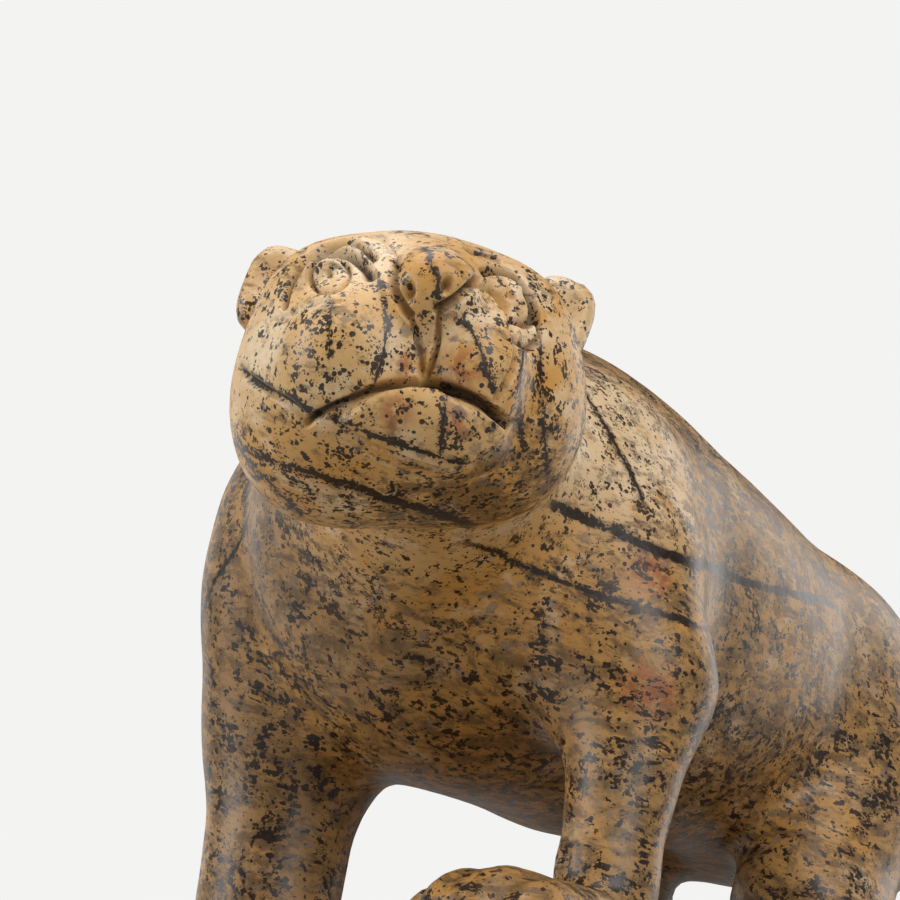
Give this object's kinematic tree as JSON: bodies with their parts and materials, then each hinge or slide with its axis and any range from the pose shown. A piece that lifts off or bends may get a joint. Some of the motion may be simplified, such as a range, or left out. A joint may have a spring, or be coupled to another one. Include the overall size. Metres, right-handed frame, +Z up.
{
  "type": "stone cat sculpture",
  "caption": "Carved stone cat walking with its head turned to its left and the left forepaw on a low rock step.",
  "frame": {"origin": "middle of the flat underside of the rock base", "axes": "+Z up, +Y from the head to the tail, so the cat walks along -Y; +X to the cat's left, the side its head turns to"},
  "size_m": [0.116, 0.24, 0.152],
  "materials": {
    "stone": "semi-polished ochre stone with black dendrites, dark veins and a few red patches"
  },
  "bodies": {
    "root": {"cat": "stone"}
  },
  "joints": []
}
